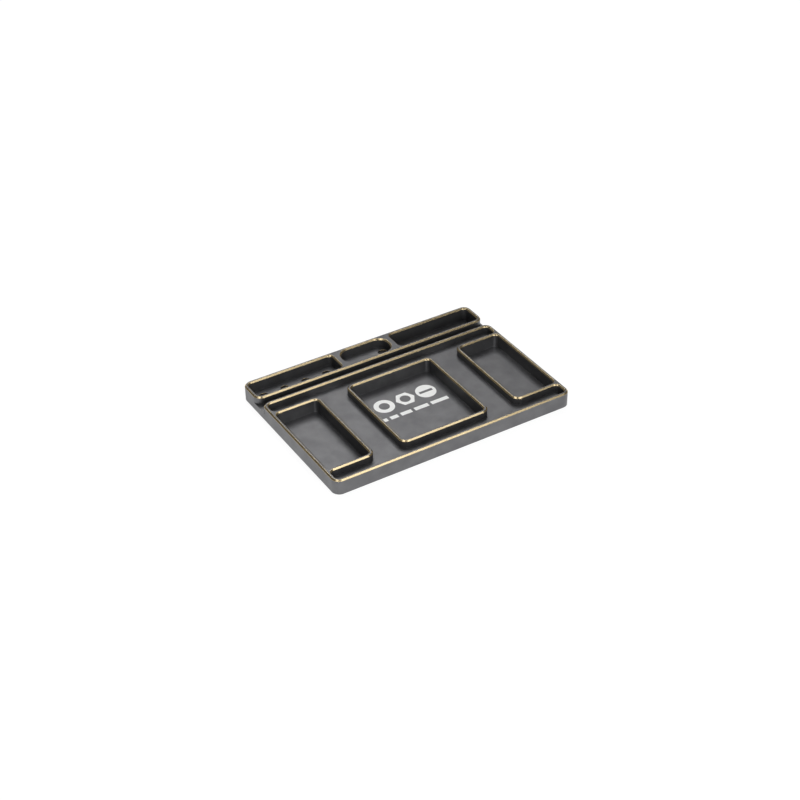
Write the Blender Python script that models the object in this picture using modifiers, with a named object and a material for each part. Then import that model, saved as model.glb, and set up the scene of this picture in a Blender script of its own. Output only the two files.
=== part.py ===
"""Parts sorting tray: a milled plate with walled pockets, seated disc magnets and rubber feet.

Frame: +X along the tray's length, +Y from the front edge to the rear strip, +Z up.
The origin is on the table under the middle of the tray. Everything is in metres.
"""

import bmesh
import bpy
from mathutils import Vector

# Plate
TRAY_LENGTH = 0.160
TRAY_DEPTH = 0.112
PLATE_THICKNESS = 0.010
WALL = 0.0025
CORNER_RADIUS = 0.005  # upright outer corners of the plate and of the pocket walls
CUTTER_RADIUS = 0.0025  # upright inner corners, as the milling cutter leaves them
EDGE_CHAMFER = 0.0008  # on every upper edge
BASE_EDGE_BREAK = 0.0003
MIDDLE_FLOOR = 0.005  # metal left under the middle level and under the groove
POCKET_FLOOR = 0.0012  # metal left under the deep pockets

# Main area
CHANNEL_WIDTH = 0.00825  # middle level in front of the pockets, and behind them
SIDE_POCKET_WIDTH = 0.0325  # over the walls
CENTRE_POCKET_WIDTH = 0.060  # over the walls

# Rear strip
STRIP_DEPTH = 0.0195
GROOVE_WIDTH = 0.005
SLOT_LENGTH = 0.032  # round-ended pocket in the middle of the strip, inside
SLOT_END_RADIUS = 0.0065
SLOT_FLOOR = 0.004
DIVIDER = 0.0045
MAGNET_POCKET_FLOOR = 0.003

# Magnets
MAGNET_COUNT = 4  # in a row along the left strip pocket; one more is in the slot
MAGNET_DIAMETER = 0.005
MAGNET_THICKNESS = 0.001
MAGNET_EDGE = 0.00012
MAGNET_RECESS = 0.0005  # top face below the pocket floor
SEAT_GAP = 0.00025  # glue line round and under a magnet
SEAT_CHAMFER = 0.0002
SLOT_MAGNET_MARGIN = 0.00105  # floor left between the magnet's seat and the slot's right end

# Feet
FOOT_DIAMETER = 0.008
FOOT_THICKNESS = 0.001
FOOT_PROUD = 0.0005  # below the plate
FOOT_GAP = 0.0003  # glue film round and above a foot
FOOT_EDGE = 0.0002
FOOT_INSET = 0.010  # from the plate's ends to a foot's axis

# Roundness of the mesh
CORNER_STEPS = 8  # facets in a quarter turn
DISC_STEPS = 40
CUT_OVERSHOOT = 0.002
SHARP_ANGLE = 0.7  # radians
LEVEL_TOLERANCE = 0.000001
MERGE_DISTANCE = 0.00001

# Levels and lines that follow from the sizes above
BASE_Z = FOOT_PROUD
TOP_Z = BASE_Z + PLATE_THICKNESS
MIDDLE_Z = BASE_Z + MIDDLE_FLOOR
LEFT, RIGHT = -TRAY_LENGTH / 2, TRAY_LENGTH / 2
FRONT, REAR = -TRAY_DEPTH / 2, TRAY_DEPTH / 2
STRIP_FRONT = REAR - STRIP_DEPTH
MAIN_REAR = STRIP_FRONT - GROOVE_WIDTH
POCKETS_FRONT = FRONT + WALL + CHANNEL_WIDTH
POCKETS_REAR = MAIN_REAR - WALL - CHANNEL_WIDTH
STRIP_MIDDLE = (STRIP_FRONT + REAR) / 2


def clear_scene():
    for obj in list(bpy.data.objects):
        bpy.data.objects.remove(obj, do_unlink=True)


def new_collection(name):
    collection = bpy.data.collections.new(name)
    bpy.context.scene.collection.children.link(collection)
    return collection


def new_material(name, colour, roughness, metallic):
    material = bpy.data.materials.new(name)
    material.use_nodes = True
    shader = material.node_tree.nodes["Principled BSDF"]
    shader.inputs["Base Color"].default_value = (*colour, 1.0)
    shader.inputs["Roughness"].default_value = roughness
    shader.inputs["Metallic"].default_value = metallic
    return material


def new_object(name, bm, collection, location=(0, 0, 0)):
    bmesh.ops.recalc_face_normals(bm, faces=bm.faces)
    mesh = bpy.data.meshes.new(name)
    bm.to_mesh(mesh)
    bm.free()
    obj = bpy.data.objects.new(name, mesh)
    obj.location = location
    collection.objects.link(obj)
    return obj


def hide_tool(tool):
    tool.hide_render = True
    tool.display_type = "WIRE"
    return tool


def smooth_round_sides(obj):
    obj.data.shade_smooth()
    obj.data.set_sharp_from_angle(angle=SHARP_ANGLE)


def rectangle(x0, x1, y0, y1):
    return [(x0, y0), (x1, y0), (x1, y1), (x0, y1)]


def sides_at(corners, i):
    """The two sides that meet at a corner of an outline, as vectors along the outline."""
    corner = Vector(corners[i])
    return corner - Vector(corners[i - 1]), Vector(corners[(i + 1) % len(corners)]) - corner


def turn_at(corners, i):
    """Above zero where a corner of an anticlockwise outline sticks out."""
    before, after = sides_at(corners, i)
    return before.cross(after)


def grown(corners, amount):
    """A square-cornered outline, run anticlockwise, moved outwards by an amount."""
    result = []
    for i, (x, y) in enumerate(corners):
        before, after = sides_at(corners, i)
        out = Vector((before.y, -before.x)).normalized() + Vector((after.y, -after.x)).normalized()
        result.append((x + out.x * amount, y + out.y * amount))
    return result


def rounded_face(bm, corners, z, outward_radius, inward_radius=0.0):
    """A flat face at height z, with one radius on corners that stick out and one on the others."""
    others = set(bm.faces)
    verts = [bm.verts.new((x, y, z)) for x, y in corners]
    bm.faces.new(verts)
    turns = [turn_at(corners, i) for i in range(len(corners))]
    for side, radius in ((1, outward_radius), (-1, inward_radius)):
        chosen = [vert for vert, turn in zip(verts, turns) if turn * side > 0]
        if chosen:
            bmesh.ops.bevel(
                bm, geom=chosen, offset=radius, offset_type="OFFSET", segments=CORNER_STEPS,
                profile=0.5, affect="VERTICES",
            )
    return next(face for face in bm.faces if face not in others)


def extruded(bm, faces, distance):
    """Extrude faces along Z, drop them where they would be left inside, return the moved ones."""
    neighbours = {other for face in faces for edge in face.edges for other in edge.link_faces}
    moved = bmesh.ops.extrude_face_region(bm, geom=faces)["geom"]
    verts = [item for item in moved if isinstance(item, bmesh.types.BMVert)]
    bmesh.ops.translate(bm, verts=verts, vec=(0, 0, distance))
    if neighbours - set(faces):
        bmesh.ops.delete(bm, geom=faces, context="FACES_ONLY")
    return [item for item in moved if isinstance(item, bmesh.types.BMFace)]


def chamfer_round(bm, face, width):
    """Chamfer every edge of one face and return the face that is left."""
    height = face.calc_center_median().z
    bmesh.ops.bevel(
        bm, geom=list(face.edges), offset=width, offset_type="OFFSET", segments=1,
        profile=0.5, affect="EDGES",
    )
    level = [f for f in bm.faces if all(abs(v.co.z - height) < LEVEL_TOLERANCE for v in f.verts)]
    return max(level, key=lambda f: f.calc_area())


def pocket_tool(name, corners, floor_z, end_radius=CUTTER_RADIUS):
    """A solid that mills one pocket: upright walls down to floor_z, and a chamfered rim."""
    bm = bmesh.new()
    rim_z = TOP_Z - EDGE_CHAMFER
    mouth = grown(corners, EDGE_CHAMFER)
    face = rounded_face(
        bm, mouth, rim_z, end_radius + EDGE_CHAMFER, CORNER_RADIUS - EDGE_CHAMFER
    )
    extruded(bm, [face], EDGE_CHAMFER + CUT_OVERSHOOT)
    bmesh.ops.recalc_face_normals(bm, faces=bm.faces)
    bottom = min(bm.faces, key=lambda f: f.calc_center_median().z)
    bottom = chamfer_round(bm, bottom, EDGE_CHAMFER)
    extruded(bm, [bottom], floor_z - rim_z)
    return hide_tool(new_object(name, bm, tools))


def disc(name, collection, diameter, z0, z1, centre, edge=0.0, edge_at_top=False, edge_at_base=False):
    """An upright disc from z0 to z1, with its rims eased where asked."""
    bm = bmesh.new()
    bmesh.ops.create_cone(
        bm, cap_ends=True, segments=DISC_STEPS, radius1=diameter / 2, radius2=diameter / 2,
        depth=z1 - z0,
    )
    bmesh.ops.translate(bm, verts=bm.verts, vec=(0, 0, (z0 + z1) / 2))
    for wanted, pick in ((edge_at_top, max), (edge_at_base, min)):
        if wanted:
            chamfer_round(bm, pick(bm.faces, key=lambda f: f.calc_center_median().z), edge)
    return new_object(name, bm, collection, (*centre, 0))


def seat_tool(name, diameter, floor_z, mouth_z, chamfer, centre):
    """A drill for a round seat, flared by the chamfer at its mouth."""
    profile = [
        (0, mouth_z + CUT_OVERSHOOT),
        (diameter / 2 + chamfer, mouth_z + CUT_OVERSHOOT),
        (diameter / 2 + chamfer, mouth_z),
        (diameter / 2, mouth_z - chamfer),
        (diameter / 2, floor_z),
        (0, floor_z),
    ]
    bm = bmesh.new()
    verts = [bm.verts.new((x, 0, z)) for x, z in profile]
    for a, b in zip(verts, verts[1:]):
        bm.edges.new((a, b))
    tool = new_object(name, bm, tools, (*centre, 0))
    turn = tool.modifiers.new("turn", "SCREW")
    turn.steps = turn.render_steps = DISC_STEPS
    turn.use_merge_vertices = True
    turn.merge_threshold = MERGE_DISTANCE
    return hide_tool(tool)


def apply_tool(target, tool, operation):
    modifier = target.modifiers.new(tool.name, "BOOLEAN")
    modifier.operation = operation
    modifier.solver = "EXACT"
    modifier.object = tool


def plate():
    """The plate with its groove: a slab, and on it the main block and the rear strip."""
    bm = bmesh.new()
    main = rounded_face(bm, rectangle(LEFT, RIGHT, FRONT, MAIN_REAR), MIDDLE_Z, CORNER_RADIUS)
    strip = rounded_face(bm, rectangle(LEFT, RIGHT, STRIP_FRONT, REAR), MIDDLE_Z, CORNER_RADIUS)
    reach = CORNER_RADIUS + LEVEL_TOLERANCE
    near_side = [v for v in main.verts if v.co.y > MAIN_REAR - reach]
    far_side = [v for v in strip.verts if v.co.y < STRIP_FRONT + reach]
    near_side.sort(key=lambda v: v.co.x)
    far_side.sort(key=lambda v: -v.co.x)
    groove = bm.faces.new(near_side + far_side)
    base = extruded(bm, [main, strip, groove], -MIDDLE_FLOOR)
    base = bmesh.ops.dissolve_faces(bm, faces=base)["region"]
    chamfer_round(bm, base[0], BASE_EDGE_BREAK)
    for face in (main, strip):
        top = extruded(bm, [face], TOP_Z - MIDDLE_Z)[0]
        chamfer_round(bm, top, EDGE_CHAMFER)
    return new_object("tray_body", bm, parts)


def middle_level_outline():
    """The main area inside its outer wall, less the two side pockets that stand on that wall."""
    x0, x1 = LEFT + WALL, RIGHT - WALL
    side0, side1 = LEFT + SIDE_POCKET_WIDTH, RIGHT - SIDE_POCKET_WIDTH
    y0, y1 = FRONT + WALL, MAIN_REAR - WALL
    return [
        (x0, y0), (x1, y0), (x1, POCKETS_FRONT), (side1, POCKETS_FRONT), (side1, POCKETS_REAR),
        (x1, POCKETS_REAR), (x1, y1), (x0, y1), (x0, POCKETS_REAR), (side0, POCKETS_REAR),
        (side0, POCKETS_FRONT), (x0, POCKETS_FRONT),
    ]


def centre_block():
    """The block that the centre pocket is milled in, sunk into the middle level."""
    bm = bmesh.new()
    half = CENTRE_POCKET_WIDTH / 2
    sunk_z = (BASE_Z + MIDDLE_Z) / 2
    corners = rectangle(-half, half, POCKETS_FRONT, POCKETS_REAR)
    face = rounded_face(bm, corners, sunk_z, CORNER_RADIUS)
    top = extruded(bm, [face], TOP_Z - sunk_z)[0]
    bmesh.ops.recalc_face_normals(bm, faces=bm.faces)
    chamfer_round(bm, top, EDGE_CHAMFER)
    return hide_tool(new_object("centre_block", bm, tools))


def pockets():
    """Every walled pocket: its name, its inside outline, its floor and its corner radius."""
    y0, y1 = POCKETS_FRONT + WALL, POCKETS_REAR - WALL
    half_centre = CENTRE_POCKET_WIDTH / 2 - WALL
    side_x = LEFT + WALL, LEFT + SIDE_POCKET_WIDTH - WALL
    strip_y = STRIP_FRONT + WALL, REAR - WALL
    half_slot = SLOT_LENGTH / 2
    deep_z = BASE_Z + POCKET_FLOOR
    return [
        ("left_pocket", rectangle(*side_x, y0, y1), deep_z, CUTTER_RADIUS),
        ("right_pocket", rectangle(-side_x[1], -side_x[0], y0, y1), deep_z, CUTTER_RADIUS),
        ("centre_pocket", rectangle(-half_centre, half_centre, y0, y1), deep_z, CUTTER_RADIUS),
        ("magnet_pocket", rectangle(LEFT + WALL, -half_slot - DIVIDER, *strip_y),
         BASE_Z + MAGNET_POCKET_FLOOR, CUTTER_RADIUS),
        ("slot", rectangle(-half_slot, half_slot, *strip_y), BASE_Z + SLOT_FLOOR, SLOT_END_RADIUS),
        ("long_pocket", rectangle(half_slot + DIVIDER, RIGHT - WALL, *strip_y), deep_z,
         CUTTER_RADIUS),
    ]


def magnet_places():
    """Axis and pocket floor of each magnet: a row that shares its pocket evenly, then the slot's."""
    x0, x1 = LEFT + WALL, -SLOT_LENGTH / 2 - DIVIDER
    pitch = (x1 - x0) / MAGNET_COUNT
    row = [((x0 + pitch * (i + 0.5), STRIP_MIDDLE), BASE_Z + MAGNET_POCKET_FLOOR)
           for i in range(MAGNET_COUNT)]
    inset = MAGNET_DIAMETER / 2 + SEAT_GAP + SEAT_CHAMFER + SLOT_MAGNET_MARGIN
    slot = ((SLOT_LENGTH / 2 - inset, STRIP_MIDDLE), BASE_Z + SLOT_FLOOR)
    return row + [slot]


def foot_places():
    """Axes of the feet: under the front channel and under the groove, where the plate is thick."""
    front_y = FRONT + WALL + CHANNEL_WIDTH / 2
    rear_y = (MAIN_REAR + STRIP_FRONT) / 2
    return {
        f"foot_{row}_{side}": (x, y)
        for row, y in (("front", front_y), ("rear", rear_y))
        for side, x in (("left", LEFT + FOOT_INSET), ("right", RIGHT - FOOT_INSET))
    }


def build_body():
    body = plate()
    apply_tool(body, pocket_tool("middle_level", middle_level_outline(), MIDDLE_Z), "DIFFERENCE")
    apply_tool(body, centre_block(), "UNION")
    for name, corners, floor_z, radius in pockets():
        apply_tool(body, pocket_tool(name, corners, floor_z, radius), "DIFFERENCE")
    body.data.materials.append(
        new_material("anodised_aluminium", (0.12, 0.12, 0.125), roughness=0.42, metallic=0.9)
    )
    return body


def build_magnets(body):
    coating = new_material("magnet_coating", (0.02, 0.02, 0.022), roughness=0.35, metallic=0.3)
    for i, (centre, floor_z) in enumerate(magnet_places(), start=1):
        top_z = floor_z - MAGNET_RECESS
        seat_z = top_z - MAGNET_THICKNESS - SEAT_GAP
        seat_diameter = MAGNET_DIAMETER + 2 * SEAT_GAP
        seat = seat_tool(f"magnet_seat_{i}", seat_diameter, seat_z, floor_z, SEAT_CHAMFER, centre)
        apply_tool(body, seat, "DIFFERENCE")
        magnet = disc(
            f"magnet_{i}", parts, MAGNET_DIAMETER, top_z - MAGNET_THICKNESS, top_z, centre,
            MAGNET_EDGE, edge_at_top=True, edge_at_base=True,
        )
        smooth_round_sides(magnet)
        magnet.data.materials.append(coating)


def build_feet(body):
    rubber = new_material("foot_rubber", (0.015, 0.015, 0.016), roughness=0.8, metallic=0.0)
    recess_z = FOOT_THICKNESS + FOOT_GAP
    for name, centre in foot_places().items():
        seat = disc(
            f"{name}_recess", tools, FOOT_DIAMETER + 2 * FOOT_GAP, BASE_Z - CUT_OVERSHOOT,
            recess_z, centre,
        )
        apply_tool(body, hide_tool(seat), "DIFFERENCE")
        foot = disc(
            name, parts, FOOT_DIAMETER, 0.0, FOOT_THICKNESS, centre, FOOT_EDGE, edge_at_base=True
        )
        smooth_round_sides(foot)
        foot.data.materials.append(rubber)


clear_scene()
parts = new_collection("parts_sorting_tray")
tools = new_collection("milling_tools")
tray = build_body()
build_magnets(tray)
build_feet(tray)
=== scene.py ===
"""The looks of the parts sorting tray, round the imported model. Metres, +X right, +Y to the rear, +Z up."""

import math

import bmesh
import bpy
from mathutils import Matrix, Vector


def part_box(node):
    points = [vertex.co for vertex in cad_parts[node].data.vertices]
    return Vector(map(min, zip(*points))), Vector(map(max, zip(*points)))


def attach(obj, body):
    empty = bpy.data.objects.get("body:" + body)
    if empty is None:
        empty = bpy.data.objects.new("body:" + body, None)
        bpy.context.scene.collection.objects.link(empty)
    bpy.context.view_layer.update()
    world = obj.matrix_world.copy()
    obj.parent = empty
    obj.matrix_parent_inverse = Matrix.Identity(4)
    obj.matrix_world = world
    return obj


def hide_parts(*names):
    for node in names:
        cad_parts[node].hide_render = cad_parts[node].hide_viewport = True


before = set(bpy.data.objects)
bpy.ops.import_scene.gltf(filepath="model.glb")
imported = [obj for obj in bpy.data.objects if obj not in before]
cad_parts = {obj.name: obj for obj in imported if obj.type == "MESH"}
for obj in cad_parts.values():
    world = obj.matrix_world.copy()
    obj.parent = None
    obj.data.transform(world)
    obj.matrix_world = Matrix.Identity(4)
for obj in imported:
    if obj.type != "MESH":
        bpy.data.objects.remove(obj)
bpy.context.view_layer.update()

# The plate, from the frame
BODY_LOW, BODY_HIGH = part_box("tray_body")
LEFT, FRONT, BASE_Z = BODY_LOW
RIGHT, REAR, TOP_Z = BODY_HIGH

# Sizes of the milled shape, as in the part's design
MM = 0.001
WALL = 2.5 * MM
CORNER_RADIUS = 5.0 * MM
CUTTER_RADIUS = 2.5 * MM
EDGE_CHAMFER = 0.8 * MM
BASE_EDGE_BREAK = 0.3 * MM
MIDDLE_FLOOR = 5.0 * MM
POCKET_FLOOR = 1.2 * MM
CHANNEL_WIDTH = 8.25 * MM
SIDE_POCKET_WIDTH = 32.5 * MM
CENTRE_POCKET_WIDTH = 60.0 * MM
STRIP_DEPTH = 19.5 * MM
GROOVE_WIDTH = 5.0 * MM
SLOT_LENGTH = 32.0 * MM
SLOT_END_RADIUS = 6.5 * MM
SLOT_FLOOR = 4.0 * MM
DIVIDER = 4.5 * MM
MAGNET_POCKET_FLOOR = 3.0 * MM
SEAT_GAP = 0.25 * MM
SEAT_CHAMFER = 0.2 * MM
FOOT_GAP = 0.3 * MM

# Fine detail of the visible shape
EDGE_ROUND = 0.07 * MM  # softness of each chamfer's two edges
FLOOR_FILLET = 0.1 * MM  # the milling cutter's own corner, where a wall meets a floor
ARC_STEPS = 14  # facets in a quarter turn
CIRCLE_STEPS = 56
EDGE_CURVE_STEPS = 3
GOLD_BANDS = 2 * EDGE_CURVE_STEPS + 1  # a softened edge, the flat of the chamfer, and the other edge

# Magnets and feet
MAGNET_RIM = 0.15 * MM
RIM_SHARE = 0.999  # just short of the rim's corner points, so that no two points coincide
FOOT_RIM = 0.3 * MM
SOLE_RING_OUTER = 0.7  # shares of the foot's radius
SOLE_RING_INNER = 0.55
SOLE_CENTRE = 0.2
SOLE_RING_DEPTH = 0.2 * MM
SOLE_RING_SOFTNESS = 0.49  # share of the ring's depth that each of its edges is rounded by

# The mark on the centre pocket's floor: small parts in a row, over bars sorted by length
ICON_RADIUS = 6.4 * MM
ICON_PITCH = 14.5 * MM
ICON_HOLE_RADIUS = 3.3 * MM
NUT_SIDES = 6
ICON_RISE = 13.0 * MM  # from the pocket's middle to the icons' middle
SCREW_SLOT_WIDTH = 2.0 * MM
SCREW_SLOT_LENGTH = 9.0 * MM
BAR_RISE = 0.9 * MM  # from the pocket's middle to the bars' middle
BAR_WIDTH = 3.0 * MM
BAR_GAP = 2.0 * MM
SHORTEST_BAR = 3.0 * MM
BAR_GROWTH = 2.2 * MM
BAR_COUNT = 5

MIDDLE_Z = BASE_Z + MIDDLE_FLOOR
STRIP_FRONT = REAR - STRIP_DEPTH
MAIN_REAR = STRIP_FRONT - GROOVE_WIDTH
POCKETS_FRONT = FRONT + WALL + CHANNEL_WIDTH
POCKETS_REAR = MAIN_REAR - WALL - CHANNEL_WIDTH

MAGNETS = sorted(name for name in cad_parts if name.startswith("magnet"))
FEET = sorted(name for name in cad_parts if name.startswith("foot"))

METAL, GOLD, MARK = range(3)  # material slots of the tray body


def centre_of(node):
    low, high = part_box(node)
    return (low + high) / 2


def radius_of(node):
    low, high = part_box(node)
    return (high.x - low.x) / 2


# ---------------------------------------------------------------- outlines

def rectangle(x0, x1, y0, y1):
    return [(x0, y0), (x1, y0), (x1, y1), (x0, y1)]


def rounded(corners, outward_radius, inward_radius=0.0, offset=0.0):
    """A square-cornered outline, run anticlockwise, moved outwards by an offset, with its corners as arcs."""
    points = []
    count = len(corners)
    for i in range(count):
        corner = Vector(corners[i])
        before = (corner - Vector(corners[i - 1])).normalized()
        after = (Vector(corners[(i + 1) % count]) - corner).normalized()
        turn = 1 if before.cross(after) > 0 else -1
        radius = outward_radius if turn > 0 else inward_radius
        centre = corner + radius * (after - before)
        reach = radius + turn * offset
        for step in range(ARC_STEPS + 1):
            swing = Matrix.Rotation(turn * math.pi / 2 * step / ARC_STEPS, 2)
            points.append(centre - reach * (swing @ after))
    return points


def circle(centre, radius, steps=CIRCLE_STEPS):
    turns = [2 * math.pi * i / steps for i in range(steps)]
    return [Vector((centre.x + radius * math.cos(t), centre.y + radius * math.sin(t))) for t in turns]


def softened(corners, reach, steps):
    """A profile of (offset, z) points with each inner corner turned into a small curve of a given reach."""
    points = [Vector(corners[0])]
    for before, corner, after, cut in zip(corners, corners[1:], corners[2:], reach):
        corner = Vector(corner)
        start = corner + cut * (Vector(before) - corner).normalized()
        end = corner + cut * (Vector(after) - corner).normalized()
        for step in range(steps + 1):
            t = step / steps
            points.append((1 - t) ** 2 * start + 2 * t * (1 - t) * corner + t ** 2 * end)
    points.append(Vector(corners[-1]))
    return [p for p, previous in zip(points, [None] + points) if p != previous]


# ---------------------------------------------------------------- surfaces

def ring(bm, points, z):
    return [bm.verts.new((x, y, z)) for x, y in points]


def skirt(bm, rings, slot_of_band):
    """Faces that join rings of equal length one after another."""
    for band, (first, second) in enumerate(zip(rings, rings[1:])):
        for i in range(len(first)):
            face = bm.faces.new((first[i - 1], first[i], second[i], second[i - 1]))
            face.material_index = slot_of_band(band)
            face.smooth = True


def fill(bm, rings, slot=METAL):
    """A flat face inside the first ring and outside the others."""
    edges = []
    for loop in rings:
        for a, b in zip(loop, loop[1:] + loop[:1]):
            edges.append(bm.edges.get((a, b)) or bm.edges.new((a, b)))
    made = bmesh.ops.triangle_fill(bm, edges=edges, use_beauty=True, normal=(0, 0, 1))["geom"]
    for face in made:
        if isinstance(face, bmesh.types.BMFace):
            face.material_index = slot
            face.smooth = False


def lofted(bm, outline_at, profile, slot_of_band):
    """Rings of one outline along a profile of (offset, z) points, joined. Returns the rings."""
    rings = [ring(bm, outline_at(offset), z) for offset, z in profile]
    skirt(bm, rings, slot_of_band)
    return rings


def rim_profile(side, floor_z, fillet):
    """From a flat top over the gold chamfer and down a wall. Side is 1 round a pocket, -1 round a block."""
    inset = EDGE_CHAMFER + EDGE_ROUND
    corners = [
        (side * inset, TOP_Z), (side * EDGE_CHAMFER, TOP_Z), (0, TOP_Z - EDGE_CHAMFER), (0, floor_z),
    ]
    reach = [EDGE_ROUND, EDGE_ROUND]
    if fillet:
        corners.append((-side * fillet, floor_z))
        reach.append(fillet)
    return softened(corners, reach, EDGE_CURVE_STEPS)


def rim_slot(band):
    return GOLD if band < GOLD_BANDS else METAL


def walled(bm, side, corners, outward_radius, inward_radius, floor_z, fillet=FLOOR_FILLET):
    """A chamfered wall round an outline. Returns its ring on the flat top and its ring on the floor."""
    rings = lofted(
        bm, lambda offset: rounded(corners, outward_radius, inward_radius, offset),
        rim_profile(side, floor_z, fillet), rim_slot,
    )
    return rings[0], rings[-1]


# ---------------------------------------------------------------- tray body

def slab_loop(main, strip):
    """Round both blocks, leaving out the corners that face the groove."""
    n = ARC_STEPS + 1
    return main[:2 * n + 1] + [strip[2 * n - 1]] + strip[2 * n:] + [strip[0], main[-1]]


def groove_loop(main, strip):
    n = ARC_STEPS + 1
    return main[2 * n:] + strip[:2 * n]


def middle_level_outline():
    """The main area inside its outer wall, less the two side pockets that stand on that wall."""
    x0, x1 = LEFT + WALL, RIGHT - WALL
    side0, side1 = LEFT + SIDE_POCKET_WIDTH, RIGHT - SIDE_POCKET_WIDTH
    y0, y1 = FRONT + WALL, MAIN_REAR - WALL
    return [
        (x0, y0), (x1, y0), (x1, POCKETS_FRONT), (side1, POCKETS_FRONT), (side1, POCKETS_REAR),
        (x1, POCKETS_REAR), (x1, y1), (x0, y1), (x0, POCKETS_REAR), (side0, POCKETS_REAR),
        (side0, POCKETS_FRONT), (x0, POCKETS_FRONT),
    ]


def seat(bm, node, floor_z):
    """A round seat under a floor, flared at its mouth. Returns its ring on the floor."""
    centre = centre_of(node)
    radius = radius_of(node) + SEAT_GAP
    seat_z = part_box(node)[0].z - SEAT_GAP
    profile = [(SEAT_CHAMFER, floor_z), (0, floor_z - SEAT_CHAMFER), (0, seat_z)]
    rings = lofted(
        bm, lambda offset: circle(centre, radius + offset), profile,
        lambda band: GOLD if band == 0 else METAL,
    )
    fill(bm, [rings[-1]])
    return rings[0]


def foot_recess(bm, node):
    """A shallow round recess in the base. Returns its ring on the base."""
    centre = centre_of(node)
    radius = radius_of(node) + FOOT_GAP
    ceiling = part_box(node)[1].z + FOOT_GAP
    rings = lofted(
        bm, lambda offset: circle(centre, radius + offset), [(0, BASE_Z), (0, ceiling)],
        lambda band: METAL,
    )
    fill(bm, [rings[-1]])
    return rings[0]


def bar_loops(bm, centre, z):
    """Bars in a row, each longer than the one before."""
    lengths = [SHORTEST_BAR + BAR_GROWTH * i for i in range(BAR_COUNT)]
    x = centre.x - (sum(lengths) + BAR_GAP * (BAR_COUNT - 1)) / 2
    y0, y1 = centre.y - BAR_WIDTH / 2, centre.y + BAR_WIDTH / 2
    bars = []
    for length in lengths:
        bars.append(ring(bm, rectangle(x, x + length, y0, y1), z))
        x += length + BAR_GAP
    return bars


def mark_loops(bm, centre, z):
    """A plain pictogram: a washer, a nut and a slotted screw head, over a row of bars."""
    icons = centre + Vector((0, ICON_RISE))
    step = Vector((ICON_PITCH, 0))
    washer, nut, screw = (
        ring(bm, circle(icons + place * step, ICON_RADIUS, steps), z)
        for place, steps in ((-1, CIRCLE_STEPS), (0, NUT_SIDES), (1, CIRCLE_STEPS))
    )
    washer_hole, nut_hole = (
        ring(bm, circle(icons + place * step, ICON_HOLE_RADIUS), z) for place in (-1, 0)
    )
    slot_x, slot_y = SCREW_SLOT_LENGTH / 2, SCREW_SLOT_WIDTH / 2
    head = icons + step
    screw_slot = ring(bm, rectangle(head.x - slot_x, head.x + slot_x, head.y - slot_y, head.y + slot_y), z)
    for outline, hole in ((washer, washer_hole), (nut, nut_hole), (screw, screw_slot)):
        fill(bm, [outline, hole], MARK)
        fill(bm, [hole])
    bars = bar_loops(bm, centre + Vector((0, BAR_RISE)), z)
    for bar in bars:
        fill(bm, [bar], MARK)
    return [washer, nut, screw, *bars]


def add_main_pockets(bm):
    """The three deep pockets and the middle level. Returns every ring that they leave in the main top."""
    y0, y1 = POCKETS_FRONT + WALL, POCKETS_REAR - WALL
    side_x = LEFT + WALL, LEFT + SIDE_POCKET_WIDTH - WALL
    half = CENTRE_POCKET_WIDTH / 2
    floor_z = BASE_Z + POCKET_FLOOR
    mouths = []
    for x0, x1 in (side_x, (-side_x[1], -side_x[0])):
        mouth, floor = walled(bm, 1, rectangle(x0, x1, y0, y1), CUTTER_RADIUS, 0, floor_z)
        fill(bm, [floor])
        mouths.append(mouth)
    level_mouth, level_floor = walled(
        bm, 1, middle_level_outline(), CUTTER_RADIUS, CORNER_RADIUS, MIDDLE_Z
    )
    block = rectangle(-half, half, POCKETS_FRONT, POCKETS_REAR)
    block_top, block_foot = walled(bm, -1, block, CORNER_RADIUS, 0, MIDDLE_Z)
    fill(bm, [level_floor, block_foot])
    centre = rectangle(-half + WALL, half - WALL, y0, y1)
    centre_mouth, centre_floor = walled(bm, 1, centre, CUTTER_RADIUS, 0, floor_z)
    fill(bm, [block_top, centre_mouth])
    marks = mark_loops(bm, Vector((0, (y0 + y1) / 2)), floor_z)
    fill(bm, [centre_floor, *marks])
    return [level_mouth, *mouths]


def add_strip_pockets(bm):
    """The three pockets of the rear strip, with the magnets' seats. Returns their rings in the top."""
    y0, y1 = STRIP_FRONT + WALL, REAR - WALL
    half_slot = SLOT_LENGTH / 2
    pockets = (
        (LEFT + WALL, -half_slot - DIVIDER, MAGNET_POCKET_FLOOR, CUTTER_RADIUS),
        (-half_slot, half_slot, SLOT_FLOOR, SLOT_END_RADIUS),
        (half_slot + DIVIDER, RIGHT - WALL, POCKET_FLOOR, CUTTER_RADIUS),
    )
    mouths = []
    for x0, x1, floor_height, radius in pockets:
        floor_z = BASE_Z + floor_height
        mouth, floor = walled(bm, 1, rectangle(x0, x1, y0, y1), radius, 0, floor_z)
        seats = [seat(bm, node, floor_z) for node in MAGNETS if x0 < centre_of(node).x < x1]
        fill(bm, [floor, *seats])
        mouths.append(mouth)
    return mouths


def block_wall(bm, corners):
    """The outer wall of the main block or the strip above the middle level."""
    return walled(bm, -1, corners, CORNER_RADIUS, 0, MIDDLE_Z, fillet=0)


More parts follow.
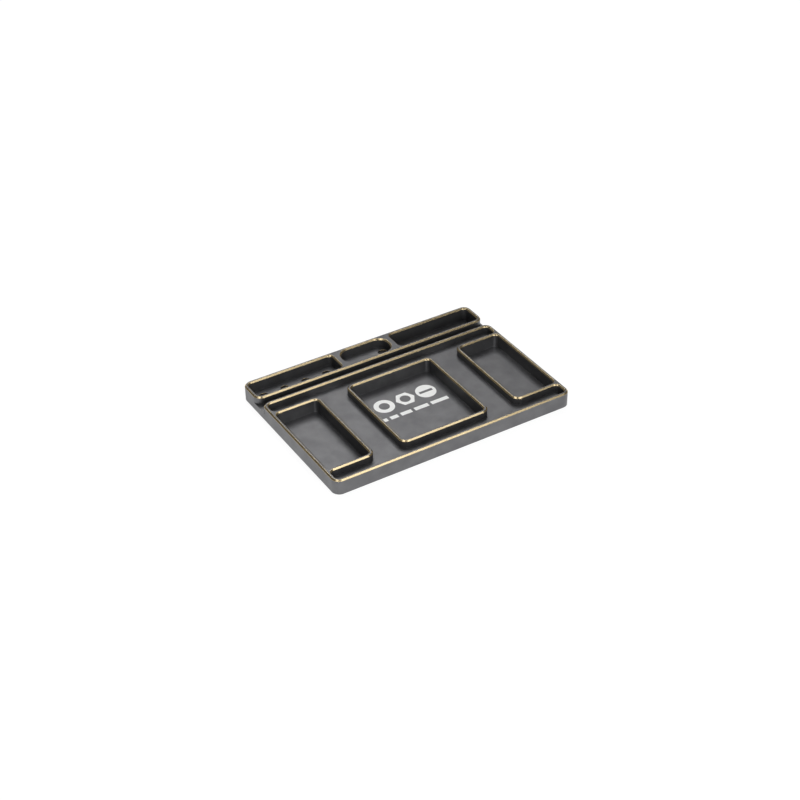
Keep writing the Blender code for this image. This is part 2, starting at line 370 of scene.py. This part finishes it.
def tray_body():
    bm = bmesh.new()
    main_corners = rectangle(LEFT, RIGHT, FRONT, MAIN_REAR)
    strip_corners = rectangle(LEFT, RIGHT, STRIP_FRONT, REAR)
    main_top, main_foot = block_wall(bm, main_corners)
    strip_top, strip_foot = block_wall(bm, strip_corners)
    fill(bm, [main_top, *add_main_pockets(bm)])
    fill(bm, [strip_top, *add_strip_pockets(bm)])
    fill(bm, [groove_loop(main_foot, strip_foot)])

    base_profile = softened(
        [(0, MIDDLE_Z), (0, BASE_Z), (-BASE_EDGE_BREAK, BASE_Z)], [BASE_EDGE_BREAK], EDGE_CURVE_STEPS
    )
    slab = [slab_loop(main_foot, strip_foot)]
    for offset, z in base_profile[1:]:
        points = slab_loop(
            rounded(main_corners, CORNER_RADIUS, 0, offset),
            rounded(strip_corners, CORNER_RADIUS, 0, offset),
        )
        slab.append(ring(bm, points, z))
    skirt(bm, slab, lambda band: METAL)
    fill(bm, [slab[-1], *[foot_recess(bm, node) for node in FEET]])
    bmesh.ops.recalc_face_normals(bm, faces=bm.faces)
    return mesh_object("tray", bm)


# ---------------------------------------------------------------- small round pieces

def turned(name, node, profile):
    """A round piece that takes a CAD node's place: a closed profile of (radius, z) turned on its axis."""
    bm = bmesh.new()
    centre = centre_of(node)
    rings = [ring(bm, circle(centre, radius), z) for radius, z in profile]
    skirt(bm, rings, lambda band: 0)
    fill(bm, [rings[0]], 0)
    fill(bm, [rings[-1]], 0)
    bmesh.ops.recalc_face_normals(bm, faces=bm.faces)
    piece = mesh_object(name, bm)
    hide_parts(node)
    return piece


def magnet_piece(node):
    """A flat disc magnet with rounded rims."""
    low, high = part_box(node)
    radius = radius_of(node)
    corners = [
        (radius - MAGNET_RIM, low.z), (radius, low.z), (radius, high.z), (radius - MAGNET_RIM, high.z),
    ]
    reach = MAGNET_RIM * RIM_SHARE
    profile = softened(corners, [reach, reach], EDGE_CURVE_STEPS)
    return turned(f"disc_{node}", node, profile)


def foot_piece(node):
    """A thin rubber foot: a flat sole with a rounded rim and a shallow ring moulded into it."""
    low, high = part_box(node)
    radius = radius_of(node)
    corners = [
        (radius, high.z), (radius, low.z), (radius * SOLE_RING_OUTER, low.z),
        (radius * SOLE_RING_OUTER, low.z + SOLE_RING_DEPTH),
        (radius * SOLE_RING_INNER, low.z + SOLE_RING_DEPTH), (radius * SOLE_RING_INNER, low.z),
        (radius * SOLE_CENTRE, low.z),
    ]
    ring_edges = [SOLE_RING_DEPTH * SOLE_RING_SOFTNESS] * 4
    reach = [FOOT_RIM, *ring_edges]
    return turned(f"pad_{node}", node, softened(corners, reach, EDGE_CURVE_STEPS))


def mesh_object(name, bm):
    mesh = bpy.data.meshes.new(name)
    bm.to_mesh(mesh)
    bm.free()
    piece = bpy.data.objects.new(name, mesh)
    bpy.context.scene.collection.objects.link(piece)
    even = piece.modifiers.new("even shading", "WEIGHTED_NORMAL")
    even.keep_sharp = True
    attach(piece, "root")
    return piece


# ---------------------------------------------------------------- materials

NOISE_LOW, NOISE_HIGH = 0.3, 0.7  # where most of the noise lies


def principled(name, colour, roughness, metallic):
    material = bpy.data.materials.new(name)
    material.use_nodes = True
    shader = material.node_tree.nodes["Principled BSDF"]
    shader.inputs["Base Color"].default_value = (*colour, 1.0)
    shader.inputs["Roughness"].default_value = roughness
    shader.inputs["Metallic"].default_value = metallic
    return material, material.node_tree, shader


def noise(tree, scale, detail):
    """Noise in the object's own metres; scale is the size of its features in metres."""
    place = tree.nodes.new("ShaderNodeTexCoord")
    mapping = tree.nodes.new("ShaderNodeMapping")
    mapping.inputs["Scale"].default_value = [1 / scale] * 3
    texture = tree.nodes.new("ShaderNodeTexNoise")
    texture.inputs["Scale"].default_value = 1.0
    texture.inputs["Detail"].default_value = detail
    tree.links.new(place.outputs["Object"], mapping.inputs["Vector"])
    tree.links.new(mapping.outputs["Vector"], texture.inputs["Vector"])
    return texture.outputs["Fac"]


def remap(tree, value, low, high):
    """Spreads the noise's usual range over another one."""
    node = tree.nodes.new("ShaderNodeMapRange")
    node.inputs["From Min"].default_value = NOISE_LOW
    node.inputs["From Max"].default_value = NOISE_HIGH
    node.inputs["To Min"].default_value = low
    node.inputs["To Max"].default_value = high
    tree.links.new(value, node.inputs["Value"])
    return node.outputs["Result"]


def blend_colours(tree, factor, first, second):
    node = tree.nodes.new("ShaderNodeMix")
    node.data_type = "RGBA"
    node.inputs["A"].default_value = (*first, 1.0)
    node.inputs["B"].default_value = (*second, 1.0)
    tree.links.new(factor, node.inputs["Factor"])
    return node.outputs["Result"]


def bump(tree, shader, height, strength, distance):
    node = tree.nodes.new("ShaderNodeBump")
    node.inputs["Strength"].default_value = strength
    node.inputs["Distance"].default_value = distance
    tree.links.new(height, node.inputs["Height"])
    tree.links.new(node.outputs["Normal"], shader.inputs["Normal"])


def finish_material(shader, tree, tint, colours, grain, roughness, strength, distance):
    """Colour between two tints, and roughness and bump that follow one grain."""
    colour = blend_colours(tree, remap(tree, tint, 0.0, 1.0), *colours)
    tree.links.new(colour, shader.inputs["Base Color"])
    tree.links.new(remap(tree, grain, *roughness), shader.inputs["Roughness"])
    bump(tree, shader, grain, strength, distance)


def anodised_black():
    """Fine blasted aluminium under black anodising: satin, with a faint cloudy variation."""
    material, tree, shader = principled("black anodised aluminium", (0.16, 0.16, 0.165), 0.42, 0.9)
    clouds = noise(tree, 9 * MM, 4.0)
    grain = noise(tree, 0.35 * MM, 2.0)
    tints = (0.135, 0.135, 0.14), (0.175, 0.175, 0.18)
    finish_material(shader, tree, clouds, tints, grain, (0.36, 0.48), 0.25, 0.03 * MM)
    return material


def anodised_gold():
    """The chamfers: cut bright after blasting, then anodised gold, with fine marks of the cutter."""
    material, tree, shader = principled("gold anodised chamfer", (0.70, 0.56, 0.33), 0.22, 1.0)
    marks = noise(tree, 0.5 * MM, 1.0)
    clouds = noise(tree, 12 * MM, 2.0)
    tints = (0.66, 0.52, 0.30), (0.74, 0.60, 0.36)
    finish_material(shader, tree, clouds, tints, marks, (0.19, 0.28), 0.04, 0.02 * MM)
    return material


def etched_mark():
    """The bare white metal of a mark that is burnt through the anodising."""
    material, tree, shader = principled("etched mark", (0.93, 0.93, 0.92), 0.55, 0.5)
    grain = noise(tree, 0.25 * MM, 2.0)
    tints = (0.90, 0.90, 0.89), (0.96, 0.96, 0.95)
    finish_material(shader, tree, grain, tints, grain, (0.5, 0.65), 0.2, 0.02 * MM)
    return material


def magnet_coating():
    """Black coating on a disc magnet."""
    material, tree, shader = principled("magnet coating", (0.02, 0.02, 0.022), 0.35, 0.3)
    grain = noise(tree, 0.6 * MM, 3.0)
    tints = (0.016, 0.016, 0.018), (0.03, 0.028, 0.026)
    finish_material(shader, tree, grain, tints, grain, (0.28, 0.42), 0.12, 0.03 * MM)
    return material


def foot_rubber():
    """Matt black rubber with a fine moulded grain."""
    material, tree, shader = principled("foot rubber", (0.015, 0.015, 0.016), 0.8, 0.0)
    grain = noise(tree, 0.4 * MM, 3.0)
    tints = (0.012, 0.012, 0.013), (0.022, 0.022, 0.023)
    finish_material(shader, tree, grain, tints, grain, (0.7, 0.88), 0.3, 0.05 * MM)
    return material


# ---------------------------------------------------------------- the object

def dress(piece, slot, *materials):
    for material in materials:
        piece.data.materials.append(material)


def build_object():
    body = tray_body()
    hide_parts("tray_body")
    dress(body, "anodised_aluminium", anodised_black(), anodised_gold(), etched_mark())
    coating = magnet_coating()
    for node in MAGNETS:
        dress(magnet_piece(node), "magnet_coating", coating)
    rubber = foot_rubber()
    for node in FEET:
        dress(foot_piece(node), "foot_rubber", rubber)


# ---------------------------------------------------------------- studio

CAMERA_AZIMUTH = -31.209  # degrees; 0 looks along +Y
CAMERA_ELEVATION = 35.921
CAMERA_ROLL = -0.786
CAMERA_DISTANCE = 0.9913
CAMERA_SHIFT = (3.523 * MM, -0.611 * MM)  # where the aim lies in the picture, to the right and up
CAMERA_AIM = (0.0, -0.115 * MM, 0.5 * MM)
SENSOR_WIDTH = 36.0
LENS = 74.951

FLOOR_SIZE = 12.0
FLOOR_COLOUR = (0.20, 0.20, 0.20)
FLOOR_GLOW = 0.90  # the lit white sweep that a product stands on
BACKDROP_COLOUR = (0.0, 0.0, 0.0)
BACKDROP_GLOW = 0.90
BACKDROP_STEPS = 4

ROOM_LIGHT = 0.13
SOFT_BOXES = {  # place, tilt up from facing down, turn, size, radiance
    "front box": ((0.25, -0.73, 0.7), 0, CAMERA_AZIMUTH, (0.58, 0.44), 1.85),
    "rear box": ((0.20, 0.50, 0.7), 0, CAMERA_AZIMUTH, (0.60, 0.60), 3.1),
    "left box": ((-0.50, -0.27, 0.7), 0, CAMERA_AZIMUTH, (0.40, 0.35), 2.0),
    "low front box": ((-0.22, -1.1, 0.4), 70, 0, (0.7, 0.35), 9.5),
}


def studio_camera():
    a, e, roll = (math.radians(d) for d in (CAMERA_AZIMUTH, CAMERA_ELEVATION, CAMERA_ROLL))
    back = Vector((math.sin(a) * math.cos(e), -math.cos(a) * math.cos(e), math.sin(e)))
    level_right = Vector((math.cos(a), math.sin(a), 0))
    level_up = back.cross(level_right)
    right = math.cos(roll) * level_right + math.sin(roll) * level_up
    up = math.cos(roll) * level_up - math.sin(roll) * level_right
    camera = bpy.data.objects.new("camera", bpy.data.cameras.new("camera"))
    camera.data.sensor_width = SENSOR_WIDTH
    camera.data.lens = LENS
    place = Vector(CAMERA_AIM) + CAMERA_DISTANCE * back - CAMERA_SHIFT[0] * right - CAMERA_SHIFT[1] * up
    turn = Matrix((right, up, back)).transposed().to_4x4()
    camera.matrix_world = Matrix.Translation(place) @ turn
    bpy.context.scene.collection.objects.link(camera)
    bpy.context.scene.camera = camera


def stage_piece(name, bm, colour, glow):
    """A glowing matt surface that isn't part of the object."""
    mesh = bpy.data.meshes.new(name)
    bm.to_mesh(mesh)
    bm.free()
    piece = bpy.data.objects.new(name, mesh)
    bpy.context.scene.collection.objects.link(piece)
    material, _, shader = principled(f"pale {name}", colour, 1.0, 0.0)
    shader.inputs["Specular IOR Level"].default_value = 0.0
    shader.inputs["Emission Color"].default_value = (1.0, 1.0, 1.0, 1.0)
    shader.inputs["Emission Strength"].default_value = glow
    mesh.materials.append(material)
    return piece


def studio_floor():
    bm = bmesh.new()
    bmesh.ops.create_grid(bm, x_segments=1, y_segments=1, size=FLOOR_SIZE / 2)
    stage_piece("floor", bm, FLOOR_COLOUR, FLOOR_GLOW)


def studio_backdrop():
    """A pale surround that only the camera sees, so that a low view has no dark horizon."""
    bm = bmesh.new()
    bmesh.ops.create_icosphere(bm, subdivisions=BACKDROP_STEPS, radius=FLOOR_SIZE / 2)
    backdrop = stage_piece("backdrop", bm, BACKDROP_COLOUR, BACKDROP_GLOW)
    backdrop.visible_diffuse = False
    backdrop.visible_glossy = False
    backdrop.visible_transmission = False
    backdrop.visible_shadow = False


def soft_box(name, place, tilt, turn, size, radiance):
    light = bpy.data.lights.new(name, "AREA")
    light.shape = "RECTANGLE"
    light.size, light.size_y = size
    light.energy = math.pi * radiance * light.size * light.size_y
    lamp = bpy.data.objects.new(name, light)
    lamp.location = place
    lamp.rotation_euler = (math.radians(tilt), 0, math.radians(turn))
    bpy.context.scene.collection.objects.link(lamp)


def studio_light():
    """Soft boxes over a dim room."""
    world = bpy.data.worlds.new("studio")
    world.use_nodes = True
    background = world.node_tree.nodes["Background"]
    background.inputs["Color"].default_value = (1.0, 1.0, 1.0, 1.0)
    background.inputs["Strength"].default_value = ROOM_LIGHT
    bpy.context.scene.world = world
    for name, box in SOFT_BOXES.items():
        soft_box(name, *box)


bpy.context.scene.view_settings.view_transform = "Standard"
build_object()
studio_floor()
studio_backdrop()
studio_light()
studio_camera()
